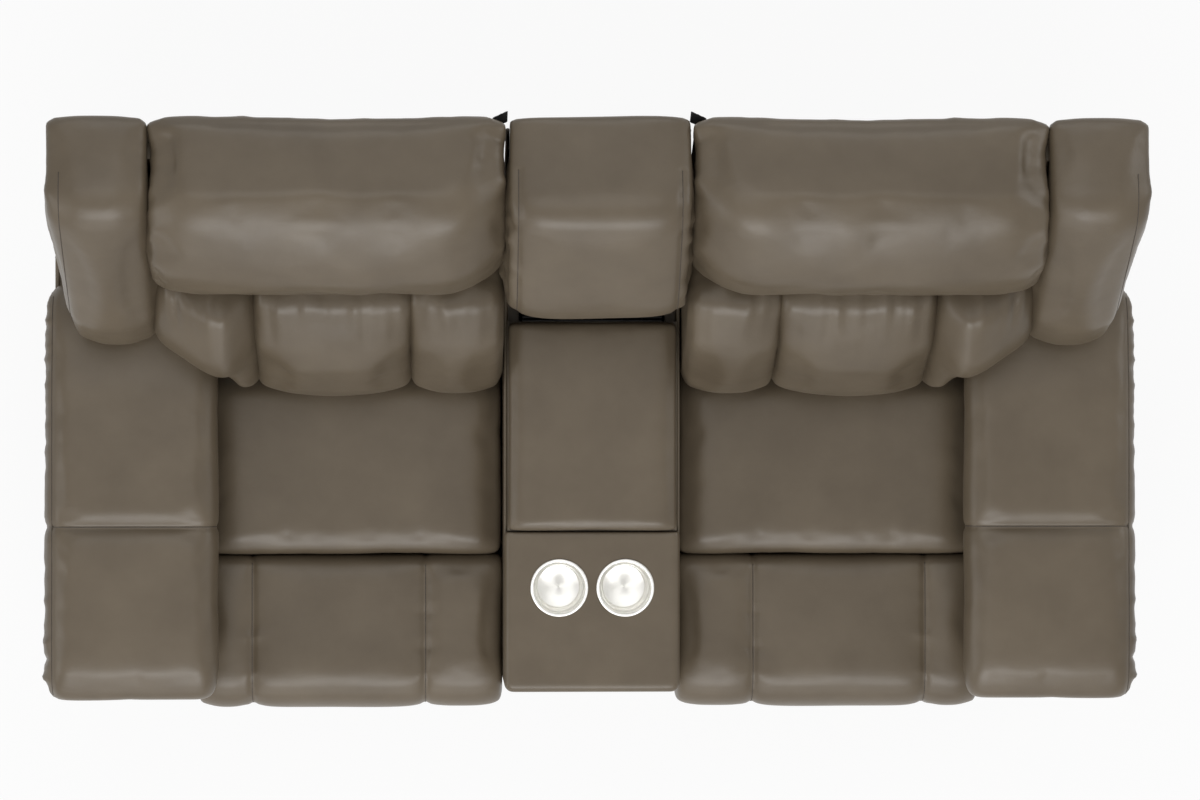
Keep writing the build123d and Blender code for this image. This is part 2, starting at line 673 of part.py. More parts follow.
def head_cushion():
    front, top = -HEAD_FRONT, HEAD_TOP
    face = -BACK_FRAME - REST_GAP
    over = BACK_FRAME_TOP + REST_GAP

    def section(x, draw):
        corner = draw + HEAD_INNER_DRAW * (1 - eased(x, SEAT_IN_X, SEAT_IN_X + HEAD_CORNER))
        outline = [
            (face, HEAD_BOTTOM),
            (face, over),
            (BACK_COVER - 0.2 * draw, over),
            (BACK_COVER - 0.2 * draw, top - 0.5 * draw),
            (front + 55 + corner, top - 0.8 * draw),
            (front + corner, top - 130),
            (front + 20 + corner, HEAD_BOTTOM),
        ]
        return section_x(x, outline, [4, CORNER_R, 2, 14, 70, 60, 40])

    stations = [SEAT_IN_X, LUMBAR_OUTER_X]
    return [leaned(pillow(stations, section, end_draw=26, seam_draw=0, roll=70))]


def lumbar_section(x, draw, bottom, front):
    """Section of a lumbar pad whose lower front corner stands at that height."""
    face = -BACK_FRAME - REST_GAP
    top = HEAD_BOTTOM - SOFT_GAP
    height = top - bottom
    roundness = 0.19 * height
    slope = min(50.0, 0.25 * front)
    outline = [
        (face, bottom),
        (face, top),
        (-front + slope + draw, top - 0.4 * draw),
        (-front + draw, top - LUMBAR_CROWN),
        (-front + draw, bottom + 0.26 * height),
        (-front + slope + draw, bottom + 0.4 * draw),
    ]
    radii = [4, 4, 0.6 * roundness, roundness, roundness, 0.45 * roundness]
    return section_x(x, outline, radii)


def outer_lumbar_pad():
    """The pad beside the arm: it rises over the arm's pillow and falls back towards the wing."""
    inner, outer = LUMBAR_SEAM_OUT + 0.5, LUMBAR_OUTER_X
    arm_edge = ARM_IN_X - ARM_OVERHANG_IN
    ends = [(inner, 18), (inner + 7, 7), (outer - 8, 10), (outer, 22)]
    spaced = [inner + 20 + (outer - inner - 44) * i / 8 for i in range(9)]
    stations = sorted(ends + [(x, 0) for x in spaced])
    sections = []
    for x, draw in stations:
        rise = eased(x, inner + 10, arm_edge - 3)
        bottom = LUMBAR_BOTTOM + (LUMBAR_OVER_ARM - LUMBAR_BOTTOM) * rise
        front = LUMBAR_FRONT + LUMBAR_LIFT * rise - LUMBAR_FALL * eased(x, arm_edge - 10, outer)
        sections.append(lumbar_section(x, draw, bottom, front))
    return loft(sections)


def lumbar_cushion():
    def section(x, draw):
        return lumbar_section(x, draw, LUMBAR_BOTTOM, LUMBAR_FRONT)

    inner = pillow([SEAT_IN_X + 4, LUMBAR_SEAM_IN - 0.5], section, 22, 0, 44)
    centre = pillow([LUMBAR_SEAM_IN + 0.5, LUMBAR_SEAM_OUT - 0.5], section, 18, 0, 54)
    return [leaned(p) for p in (inner, centre, outer_lumbar_pad())]


def wing_bolster():
    face = -BACK_FRAME - REST_GAP
    over = BACK_FRAME_TOP + REST_GAP

    def section(x, draw):
        outline = [
            (face, WING_BOTTOM + 0.3 * draw),
            (face, over),
            (BACK_COVER - 0.2 * draw, over),
            (BACK_COVER - 0.2 * draw, HEAD_TOP - 0.5 * draw),
            (-WING_FRONT + 80 + draw, HEAD_TOP - 6 - 0.8 * draw),
            (-WING_FRONT + draw, WING_BOTTOM + 120),
            (-WING_FRONT + 14 + draw, WING_BOTTOM + 0.3 * draw),
        ]
        return section_x(x, outline, [4, CORNER_R, 2, 14, 70, 60, 40])

    stations = [WING_INNER_X, WING_OUTER_X]
    return [leaned(pillow(stations, section, end_draw=24, seam_draw=0, roll=48))]


# Console
def console_frame():
    x1 = CONSOLE_X - CONSOLE_SKIN
    t = CONSOLE_BOARD
    z0, z1 = BASE_TOP_Z, CONSOLE_TOP_Z - DECK_BOARD
    y0, y1 = CONSOLE_FRONT_Y + CONSOLE_FRONT_PAD, CONSOLE_REAR_Y
    wall = LID_FRONT_Y - t
    return [
        board(x1 - t, x1, y0, y1, z0, z1),
        board(-x1, t - x1, y0, y1, z0, z1),
        board(t - x1, x1 - t, y0, y0 + t, z0, z1),
        board(t - x1, x1 - t, wall, wall + t, z0, z1),
        board(t - x1, x1 - t, STORAGE_REAR_Y, STORAGE_REAR_Y + t, z0, z1),
        board(t - x1, x1 - t, wall + t, STORAGE_REAR_Y, STORAGE_FLOOR_Z, STORAGE_FLOOR_Z + t),
        board(t - x1, x1 - t, y1 - t, y1, z0, CONSOLE_TOP_Z - 105),
    ]


def console_cover():
    z0, z1 = BASE_TOP_Z, CONSOLE_TOP_Z
    x0, x1 = CONSOLE_X - CONSOLE_SKIN, CONSOLE_X
    front = CONSOLE_FRONT_Y + CONSOLE_FRONT_PAD
    skin = board(x0, x1, front, CONSOLE_REAR_Y, z0, z1)
    face = board(-x1, x1, CONSOLE_FRONT_Y, front, z0, z1)
    face = fillet(face.edges().filter_by(Axis.Z).group_by(Axis.Y)[0], CONSOLE_FRONT_PAD * 0.8)
    return [skin, mirror(skin, about=Plane.YZ), face]


def cup_holes(shape, radius, z0, z1):
    for side in (-1, 1):
        hole = Pos(side * CUP_SPACING / 2, CUP_Y, (z0 + z1) / 2) * Cylinder(radius, z1 - z0)
        shape -= hole
    return shape


def console_deck():
    x1 = CONSOLE_X - CONSOLE_SKIN
    z0 = CONSOLE_TOP_Z - DECK_BOARD
    front = CONSOLE_FRONT_Y + CONSOLE_FRONT_PAD
    hole = CUP_R + CUP_WALL + 0.4
    rear = LID_FRONT_Y - 2
    base = board(-x1, x1, front, rear, z0, CONSOLE_TOP_Z)
    z1 = CONSOLE_TOP_Z + DECK_PAD
    pad = board(-CONSOLE_X, CONSOLE_X, CONSOLE_FRONT_Y, rear, CONSOLE_TOP_Z, z1)
    pad = fillet(pad.edges().filter_by(Axis.Z).group_by(Axis.Y)[0], CONSOLE_FRONT_PAD * 0.8)
    rim = pad.faces().sort_by(Axis.Z)[-1].edges().sort_by(Axis.Y)[:-1]
    pad = fillet(rim, DECK_PAD * 0.6)
    return [cup_holes(base, hole, z0, z1), cup_holes(pad, hole, z0, z1)]


def cup_holders():
    top = CONSOLE_TOP_Z + DECK_PAD
    outer = CUP_R + CUP_WALL
    flange = 2.4
    floor = 1.6
    outline = [
        (0, top - CUP_DEPTH - floor),
        (outer, top - CUP_DEPTH - floor),
        (outer, top),
        (CUP_FLANGE_R, top),
        (CUP_FLANGE_R, top + flange),
        (CUP_R, top + flange),
        (CUP_R, top - CUP_DEPTH),
        (0, top - CUP_DEPTH),
    ]
    profile = Plane.XZ * make_face(Polyline(*outline, close=True).edges())
    cup = revolve(profile, axis=Axis.Z)
    lip = cup.edges().filter_by(GeomType.CIRCLE).group_by(Axis.Z)[-1]
    cup = fillet(lip, flange * 0.45)
    return [Pos(side * CUP_SPACING / 2, CUP_Y, 0) * cup for side in (-1, 1)]


def console_back_frame():
    width = CONSOLE_X - CONSOLE_SKIN - CONSOLE_BOARD - REST_GAP
    front, rear = -14.0, BACK_COVER
    t = 60.0
    pieces = [
        board(-width, t - width, front, rear, 130, BACK_FRAME_TOP - 10),
        board(width - t, width, front, rear, 130, BACK_FRAME_TOP - 10),
        board(t - width, width - t, front, rear, BACK_FRAME_TOP - 70, BACK_FRAME_TOP - 10),
        board(t - width, width - t, front, rear, 130, 190),
    ]
    return [leaned(p) for p in pieces]


def console_back_cushion():
    front = -14.0 - REST_GAP
    over = BACK_FRAME_TOP - 10 + REST_GAP
    low = 216.0

    def section(x, draw):
        outline = [
            (front, low),
            (front, over),
            (BACK_COVER, over),
            (BACK_COVER, HEAD_TOP - 0.6 * draw),
            (-CONSOLE_BACK_FRONT + 90 + draw, HEAD_TOP - 0.6 * draw),
            (-CONSOLE_BACK_FRONT + draw, HEAD_TOP - 235),
            (-CONSOLE_BACK_FRONT + 124 + draw, low + 22),
        ]
        return section_x(x, outline, [4, CORNER_R, 2, 14, 70, 90, 40])

    stations = [-CONSOLE_BACK_HALF, CONSOLE_BACK_HALF]
    return [leaned(pillow(stations, section, end_draw=28, seam_draw=0, roll=60))]


def console_rear_panel():
    """Dark rear cover of the console's back."""
    half = CONSOLE_BACK_HALF - 2
    y0 = BACK_COVER + REST_GAP
    return [leaned(board(-half, half, y0, y0 + 3, 165, BACK_FRAME_TOP))]


def lid_knuckles(moving):
    """Hinge leaf of the console lid with its knuckles; the fixed one holds the pin."""
    half = CONSOLE_X - CONSOLE_SKIN - CONSOLE_BOARD - 6
    count = 7
    pitch = 2 * half / count
    bore = LID_PIN_R + (RUNNING_CLEARANCE if moving else 0)
    if moving:
        leaf = board(-half, half, LID_REAR_Y, LID_REAR_Y + 2.5, LID_PIN_Z - 5, LID_PIN_Z + 5)
    else:
        leaf = board(-half, half, STORAGE_REAR_Y - 2.5, STORAGE_REAR_Y, LID_PIN_Z - 52, LID_PIN_Z)
    solid = leaf
    for index in range(count):
        if (index % 2 == 1) != moving:
            continue
        x0, x1 = -half + index * pitch + 0.4, -half + (index + 1) * pitch - 0.4
        knuckle = rod_x(LID_PIN_Y, LID_PIN_Z, LID_KNUCKLE_R, x0, x1)
        y0, y1 = sorted((LID_PIN_Y, LID_REAR_Y if moving else STORAGE_REAR_Y))
        solid += knuckle + board(x0, x1, y0, y1, LID_PIN_Z - 3, LID_PIN_Z)
    solid -= rod_x(LID_PIN_Y, LID_PIN_Z, bore, -half - 1, half + 1)
    return solid, rod_x(LID_PIN_Y, LID_PIN_Z, LID_PIN_R, -half, half)


def console_lid_board():
    z0 = CONSOLE_TOP_Z + REST_GAP
    half = CONSOLE_X - LID_INSET
    return [board(-half, half, LID_FRONT_Y, LID_REAR_Y, z0, z0 + LID_BOARD)]


def console_lid_pad():
    z0 = CONSOLE_TOP_Z + REST_GAP + LID_BOARD + REST_GAP
    half = CONSOLE_X - LID_INSET

    def section(x, draw):
        outline = [
            (LID_FRONT_Y + 0.2 * draw, z0),
            (LID_REAR_Y - 0.2 * draw, z0),
            (LID_REAR_Y - 0.2 * draw, z0 + LID_PAD - draw),
            (LID_FRONT_Y + 0.2 * draw, z0 + LID_PAD - draw),
        ]
        return section_x(x, outline, [2, 2, 8, 12])

    return [pillow([-half, half], section, end_draw=13, seam_draw=0, roll=30)]


def save(name, solids):
    shape = solids[0] if len(solids) == 1 else Compound(children=solids)
    export_step(shape, os.path.join("parts", name + ".step"))


def build_all():
    os.makedirs("parts", exist_ok=True)
    fixed_leaf, lid_pin = lid_knuckles(moving=False)
    moving_leaf, _ = lid_knuckles(moving=True)
    single = {
        "base_rails": base_rails(),
        "feet": feet(),
        "power_supply": power_supply(),
        "rear_valance": rear_valance(),
        "console_frame": console_frame(),
        "console_cover": console_cover(),
        "console_deck": console_deck(),
        "cup_holders": cup_holders(),
        "console_back_frame": console_back_frame(),
        "console_back_cushion": console_back_cushion(),
        "console_rear_panel": console_rear_panel(),
        "console_hinge_fixed": [fixed_leaf, lid_pin],
        "console_hinge_moving": [moving_leaf],
        "console_lid_board": console_lid_board(),
        "console_lid_pad": console_lid_pad(),
        "switch_plates": switch_plates(),
    }
    paired = {
        "arm_frame": arm_frame(),
        "arm_cover": arm_cover(),
        "arm_pillow": arm_pillow(),
        "open_button": button(-1),
        "close_button": button(1),
        "seat_frame": seat_frame(),
        "seat_springs": seat_springs(),
        "seat_cushion": seat_cushion(),
        "seat_bolster": seat_bolster(),
        "seat_plates": at_both_sides(seat_plate),
        "rear_links": rear_links(),
        "front_links": front_links(),
        "footrest_board": footrest_board(),
        "footrest_pad": footrest_pad(),
        "actuator_motor": actuator_motor(),
        "actuator_carriage": actuator_carriage(),
        "back_frame": back_frame(),
        "back_hinges": back_hinges(),
        "back_cover": back_cover(),
        "head_cushion": head_cushion(),
        "lumbar_cushion": lumbar_cushion(),
        "wing_bolster": wing_bolster(),
    }
    for name, solids in single.items():
        save(name, solids)
    for name, solids in paired.items():
        save("right_" + name, solids)
        save("left_" + name, [mirror(s, about=Plane.YZ) for s in solids])


build_all()
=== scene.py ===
"""Looks of the power reclining loveseat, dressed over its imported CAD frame. Metres."""
import json
import math

import bmesh
import bpy
import numpy as np
from mathutils import Matrix, Vector


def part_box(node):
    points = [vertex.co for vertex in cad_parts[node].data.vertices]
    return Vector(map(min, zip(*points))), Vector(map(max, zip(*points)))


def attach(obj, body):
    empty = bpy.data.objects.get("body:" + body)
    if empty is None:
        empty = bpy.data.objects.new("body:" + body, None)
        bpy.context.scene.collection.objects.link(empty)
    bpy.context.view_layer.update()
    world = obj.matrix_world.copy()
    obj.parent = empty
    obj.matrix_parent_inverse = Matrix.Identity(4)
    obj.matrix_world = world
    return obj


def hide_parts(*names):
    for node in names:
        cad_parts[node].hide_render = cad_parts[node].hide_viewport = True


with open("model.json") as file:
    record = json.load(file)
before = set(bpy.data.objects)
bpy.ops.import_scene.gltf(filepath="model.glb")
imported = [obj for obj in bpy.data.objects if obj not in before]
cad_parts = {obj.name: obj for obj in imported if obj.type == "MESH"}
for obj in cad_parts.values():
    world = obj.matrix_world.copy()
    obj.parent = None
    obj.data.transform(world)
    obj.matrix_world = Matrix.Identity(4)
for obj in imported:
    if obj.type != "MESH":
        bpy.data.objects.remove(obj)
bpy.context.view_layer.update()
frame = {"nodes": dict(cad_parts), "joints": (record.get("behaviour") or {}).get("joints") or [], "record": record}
NODES = frame["nodes"]
SIDES = ("right", "left")

# Camera, fitted to the photograph: nearly straight above, a little left of the middle
CAMERA_HEIGHT = 8.5
CAMERA_X = -0.28
AIM_X = 0.0
AIM_Y = 0.032
AIM_Z = 0.97
PHOTO_SCALE = 0.00178
PHOTO_SCALE_Z = 0.5
PHOTO_WIDTH = 1200

# Back geometry, as the joint gives it
HINGE = Vector(next(j["pos_m"] for j in frame["joints"] if j["name"] == "right_recline"))
RAKE = math.radians(22.0)

# Light of the surroundings on the object, and as a mirror shows it
WORLD_LIGHT = 0.17
WORLD_SEEN = 0.75
FLOOR_GLOW = 0.92

# Upholstery
VOXEL = 0.007
PRESSURE = 4.0
SIM_FRAMES = 18
PULL_IN = 0.15
SEAM_STEP = 0.004
SEAM_RADIUS = 0.0009
PIPING_RADIUS = 0.0036
ROLL_RADIUS = 0.018
WALL_GAP = 0.0006
BACK_CLEARANCE = 0.002

# Colours, linear
TAUPE_DARK = (0.121, 0.094, 0.063, 1)
TAUPE_LIGHT = (0.152, 0.120, 0.082, 1)


# Materials
def new_material(name):
    mat = bpy.data.materials.new(name)
    mat.use_nodes = True
    tree = mat.node_tree
    return mat, tree, tree.nodes["Principled BSDF"]


def add(tree, kind, **values):
    """A shader node with some of its properties and inputs set."""
    node = tree.nodes.new(kind)
    for key, value in values.items():
        if hasattr(node, key):
            setattr(node, key, value)
        else:
            node.inputs[key.replace("_", " ")].default_value = value
    return node


def object_coords(tree):
    return tree.nodes.new("ShaderNodeTexCoord").outputs["Object"]


def ramp(tree, source, low, high, start=0.35, stop=0.65):
    node = tree.nodes.new("ShaderNodeValToRGB")
    node.color_ramp.elements[0].position = start
    node.color_ramp.elements[1].position = stop
    node.color_ramp.elements[0].color = low
    node.color_ramp.elements[1].color = high
    tree.links.new(source, node.inputs["Fac"])
    return node.outputs["Color"]


def noise(tree, coords, scale, detail=3.0, roughness=0.5):
    node = add(tree, "ShaderNodeTexNoise", Scale=scale, Detail=detail, Roughness=roughness)
    tree.links.new(coords, node.inputs["Vector"])
    return node.outputs["Fac"]


def bump(tree, height, strength, distance, below=None):
    node = add(tree, "ShaderNodeBump", Strength=strength, Distance=distance)
    tree.links.new(height, node.inputs["Height"])
    if below is not None:
        tree.links.new(below, node.inputs["Normal"])
    return node.outputs["Normal"]


def leather_material(name="taupe_leather"):
    """Fine pebbled leather: mottled colour, soft creases and a closed grain."""
    mat, tree, shader = new_material(name)
    coords = object_coords(tree)
    mottle = noise(tree, coords, 9.0, 4.0, 0.55)
    tree.links.new(ramp(tree, mottle, TAUPE_DARK, TAUPE_LIGHT, 0.3, 0.72), shader.inputs["Base Color"])
    grain = add(tree, "ShaderNodeTexVoronoi", feature="DISTANCE_TO_EDGE", Scale=520.0)
    tree.links.new(coords, grain.inputs["Vector"])
    pores = noise(tree, coords, 900.0, 2.0)
    creases = noise(tree, coords, 38.0, 5.0, 0.6)
    normal = bump(tree, creases, 0.10, 0.004)
    normal = bump(tree, grain.outputs["Distance"], 0.16, 0.0006, normal)
    normal = bump(tree, pores, 0.08, 0.0004, normal)
    tree.links.new(normal, shader.inputs["Normal"])
    wear = noise(tree, coords, 22.0, 3.0)
    span = add(tree, "ShaderNodeMapRange", To_Min=0.34, To_Max=0.43)
    tree.links.new(wear, span.inputs["Value"])
    tree.links.new(span.outputs["Result"], shader.inputs["Roughness"])
    shader.inputs["Specular IOR Level"].default_value = 0.42
    return mat


def stitch_material():
    """Twisted thread a little darker than the leather."""
    mat, tree, shader = new_material("seam_thread")
    coords = object_coords(tree)
    tree.links.new(
        ramp(tree, noise(tree, coords, 600.0), (0.05, 0.04, 0.031, 1), (0.09, 0.072, 0.056, 1)),
        shader.inputs["Base Color"],
    )
    tree.links.new(bump(tree, noise(tree, coords, 1500.0), 0.3, 0.0005), shader.inputs["Normal"])
    shader.inputs["Roughness"].default_value = 0.7
    return mat


def wood_material():
    """Raw plywood and hardwood rails with long grain."""
    mat, tree, shader = new_material("frame_wood")
    coords = object_coords(tree)
    stretch = add(tree, "ShaderNodeMapping")
    stretch.inputs["Scale"].default_value = (3.0, 30.0, 30.0)
    tree.links.new(coords, stretch.inputs["Vector"])
    figure = noise(tree, stretch.outputs["Vector"], 4.0, 6.0, 0.6)
    tree.links.new(
        ramp(tree, figure, (0.36, 0.23, 0.12, 1), (0.56, 0.40, 0.24, 1)), shader.inputs["Base Color"]
    )
    tree.links.new(bump(tree, figure, 0.25, 0.001), shader.inputs["Normal"])
    shader.inputs["Roughness"].default_value = 0.68
    return mat


def painted_steel_material():
    """Black powder-coated mechanism steel with a fine orange peel."""
    mat, tree, shader = new_material("mechanism_steel")
    coords = object_coords(tree)
    tree.links.new(
        ramp(tree, noise(tree, coords, 30.0, 4.0), (0.012, 0.012, 0.013, 1), (0.03, 0.03, 0.031, 1)),
        shader.inputs["Base Color"],
    )
    tree.links.new(bump(tree, noise(tree, coords, 420.0), 0.15, 0.0006), shader.inputs["Normal"])
    shader.inputs["Roughness"].default_value = 0.42
    shader.inputs["Metallic"].default_value = 0.55
    return mat


def plastic_material(name, dark, light, roughness):
    """Moulded plastic with a fine spark texture."""
    mat, tree, shader = new_material(name)
    coords = object_coords(tree)
    tree.links.new(ramp(tree, noise(tree, coords, 55.0), dark, light), shader.inputs["Base Color"])
    tree.links.new(bump(tree, noise(tree, coords, 1100.0, 2.0), 0.2, 0.0004), shader.inputs["Normal"])
    shader.inputs["Roughness"].default_value = roughness
    return mat


def cup_steel_material():
    """Spun stainless steel, brushed round each cup's axis."""
    mat, tree, shader = new_material("spun_steel")
    coords = object_coords(tree)
    tangent = add(tree, "ShaderNodeTangent", direction_type="RADIAL", axis="Z")
    tree.links.new(tangent.outputs["Tangent"], shader.inputs["Tangent"])
    tree.links.new(
        ramp(tree, noise(tree, coords, 40.0), (0.92, 0.91, 0.87, 1), (0.96, 0.95, 0.92, 1)),
        shader.inputs["Base Color"],
    )
    shader.inputs["Metallic"].default_value = 1.0
    shader.inputs["Roughness"].default_value = 0.42
    shader.inputs["Anisotropic"].default_value = 0.9
    return mat


def cloth_material():
    """Black non-woven lining cloth."""
    mat, tree, shader = new_material("lining_cloth")
    coords = object_coords(tree)
    fibres = noise(tree, coords, 700.0, 4.0, 0.7)
    tree.links.new(
        ramp(tree, fibres, (0.006, 0.006, 0.006, 1), (0.018, 0.017, 0.017, 1)), shader.inputs["Base Color"]
    )
    tree.links.new(bump(tree, fibres, 0.3, 0.0006), shader.inputs["Normal"])
    shader.inputs["Roughness"].default_value = 0.9
    return mat


LEATHER = leather_material()
THREAD = stitch_material()
WOOD = wood_material()
STEEL = painted_steel_material()
BLACK = plastic_material("black_plastic", (0.006, 0.006, 0.006, 1), (0.014, 0.014, 0.014, 1), 0.5)
SWITCH = plastic_material("switch_plastic", (0.014, 0.014, 0.015, 1), (0.026, 0.026, 0.028, 1), 0.33)
SPUN = cup_steel_material()
CLOTH = cloth_material()
BY_SLOT = {
    "leather": LEATHER,
    "frame_wood": WOOD,
    "mechanism_steel": STEEL,
    "black_plastic": BLACK,
    "switch_plastic": SWITCH,
    "cup_steel": SPUN,
}


# Boards that show from outside and are wrapped in leather, or lined with cloth
WRAPPED = {
    "console_frame": LEATHER,
    "console_back_frame": LEATHER,
    "left_back_frame": LEATHER,
    "right_back_frame": LEATHER,
    "left_arm_frame": LEATHER,
    "right_arm_frame": LEATHER,
    "left_footrest_board": CLOTH,
    "right_footrest_board": CLOTH,
}


def paint_frame():
    for part in frame["record"]["subparts"]:
        mesh = NODES[part["node"]].data
        mesh.materials.clear()
        mesh.materials.append(WRAPPED.get(part["node"], BY_SLOT[part["material_slot"]]))


# Mesh helpers
def new_object(name, co, faces, material):
    mesh = bpy.data.meshes.new(name)
    mesh.from_pydata([tuple(c) for c in co], [], [tuple(f) for f in faces])
    mesh.update()
    for polygon in mesh.polygons:
        polygon.use_smooth = True
    mesh.materials.append(material)
    obj = bpy.data.objects.new(name, mesh)
    bpy.context.scene.collection.objects.link(obj)
    return obj


def points_of(mesh):
    co = np.empty(len(mesh.vertices) * 3)
    mesh.vertices.foreach_get("co", co)
    return co.reshape(-1, 3)


def normals_of(mesh):
    no = np.empty(len(mesh.vertices) * 3)
    mesh.vertices.foreach_get("normal", no)
    return no.reshape(-1, 3)


def edges_of(mesh):
    ed = np.empty(len(mesh.edges) * 2, int)
    mesh.edges.foreach_get("vertices", ed)
    return ed.reshape(-1, 2)


def set_points(mesh, co):
    mesh.vertices.foreach_set("co", np.asarray(co, np.float32).ravel())
    mesh.update()


def solids_of(node):
    """The separate solids of a CAD node, welded, as meshes ordered from the middle outwards."""
    bm = bmesh.new()
    bm.from_mesh(NODES[node].data)
    bmesh.ops.remove_doubles(bm, verts=bm.verts, dist=1e-5)
    bm.verts.index_update()
    bm.faces.index_update()
    seen, groups = set(), []
    for seed in bm.verts:
        if seed in seen:
            continue
        group, front = {seed}, [seed]
        while front:
            vert = front.pop()
            for edge in vert.link_edges:
                other = edge.other_vert(vert)
                if other not in group:
                    group.add(other)
                    front.append(other)
        seen |= group
        groups.append(sorted(group, key=lambda v: v.index))
    meshes = []
    for group in groups:
        order = {v: i for i, v in enumerate(group)}
        faces = sorted({f for v in group for f in v.link_faces}, key=lambda f: f.index)
        co = [tuple(v.co) for v in group]
        meshes.append((co, [[order[v] for v in f.verts] for f in faces]))
    bm.free()

    def place(solid):
        x = float(np.mean([c[0] for c in solid[0]]))
        return round(abs(x), 4), x

    return sorted(meshes, key=place)


def remeshed(name, co, faces, voxel):
    """An even mesh over a closed form."""
    obj = new_object(name, co, faces, LEATHER)
    modifier = obj.modifiers.new("even", "REMESH")
    modifier.mode = "VOXEL"
    modifier.voxel_size = voxel
    depsgraph = bpy.context.evaluated_depsgraph_get()
    mesh = bpy.data.meshes.new_from_object(obj.evaluated_get(depsgraph))
    obj.modifiers.clear()
    obj.data = mesh
    mesh.materials.clear()
    mesh.materials.append(LEATHER)
    for polygon in mesh.polygons:
        polygon.use_smooth = True
    return obj


def relaxed(co, edges, rounds, factor=0.5):
    """Evens out a surface by moving each point towards its neighbours."""
    count = np.bincount(edges.ravel(), minlength=len(co)).astype(float)[:, None]
    for _ in range(rounds):
        total = np.zeros_like(co)
        np.add.at(total, edges[:, 0], co[edges[:, 1]])
        np.add.at(total, edges[:, 1], co[edges[:, 0]])
        co = co + factor * (total / np.maximum(count, 1) - co)
    return co


def inflated(obj, cap, held=None, pressure=PRESSURE):
    """Puffs a cushion with a short cloth simulation, moving no point further than the cap.

    Points where held is true are sewn down and stay where they are, and no side pulls in by much.
    """
    rest, out = points_of(obj.data), normals_of(obj.data)
    modifier = obj.modifiers.new("puff", "CLOTH")
    settings = modifier.settings
    if held is not None:
        group = obj.vertex_groups.new(name="sewn")
        group.add(np.flatnonzero(held).tolist(), 1.0, "REPLACE")
        settings.vertex_group_mass = "sewn"
    settings.quality = 4
    settings.mass = 0.3
    settings.tension_stiffness = 12
    settings.compression_stiffness = 12
    settings.shear_stiffness = 6
    settings.bending_stiffness = 0.6
    settings.use_pressure = True
    settings.uniform_pressure_force = pressure
    settings.effector_weights.gravity = 0
    modifier.collision_settings.use_collision = False
    modifier.point_cache.frame_start = 1
    modifier.point_cache.frame_end = SIM_FRAMES
    scene = bpy.context.scene
    for number in range(1, SIM_FRAMES + 1):
        scene.frame_set(number)
    depsgraph = bpy.context.evaluated_depsgraph_get()
    puffed = points_of(obj.evaluated_get(depsgraph).data)
    obj.modifiers.clear()
    obj.vertex_groups.clear()
    scene.frame_set(1)
    move = puffed - rest
    inward = np.minimum((move * out).sum(1, keepdims=True), 0)
    move -= (1 - PULL_IN) * inward * out
    length = np.linalg.norm(move, axis=1, keepdims=True)
    return rest, move * np.minimum(1, cap / np.maximum(length, 1e-9))


class Field:
    """A smooth random field: a sum of seeded waves of about one length."""

    def __init__(self, seed, length, count=14):
        draw = np.random.RandomState(seed)
        direction = draw.normal(size=(count, 3))
        direction /= np.linalg.norm(direction, axis=1, keepdims=True)
        self.wave = direction * (2 * math.pi / (length * draw.uniform(0.7, 1.5, count)))[:, None]
        self.phase = draw.uniform(0, 2 * math.pi, count)

    def __call__(self, co):
        return np.sin(co @ self.wave.T + self.phase).sum(1) / math.sqrt(len(self.phase))


def near(distance, width):
    """1 at a seam, fading to 0 over about the width."""
    return np.exp(-((distance / width) ** 2))


def smoothstep(value, low, high):
    t = np.clip((value - low) / (high - low), 0, 1)
    return t * t * (3 - 2 * t)


def upright(co):
    """Points of a right-hand or centre back piece in its upright frame: x, towards the rear, up."""
    y, z = co[:, 1] - HINGE.y, co[:, 2] - HINGE.z
    c, s = math.cos(RAKE), math.sin(RAKE)
    return np.stack([co[:, 0], y * c - z * s, y * s + z * c], 1)


def limits(node):
    low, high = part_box(node)
    return np.array(low), np.array(high)


# Places of seams and edges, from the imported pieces
SEAMS_X = (0.293, 0.602)
ARM_SEAM_Y = -0.190
ARM_FRONT, ARM_BACK = limits("right_arm_pillow")[0][1], limits("right_arm_pillow")[1][1]
ARM_STRIP_X = limits("right_arm_pillow")[1][0] - 0.017
CONSOLE_SEAM_X = limits("console_back_cushion")[1][0] - 0.015
LUMBAR_EDGE = limits("right_wing_bolster")[0][0]
WING_EDGE = limits("right_wing_bolster")[1][0]
WING_NARROWING = 0.034
WING_TOP = 0.66
WING_HEIGHT = 0.46
HEAD_LOW = 0.392
HEAD_SEAM = 0.60
BACK_ROW_LOW, BACK_ROW_HIGH = 0.18, 0.575
PANEL_BACK = 0.0375


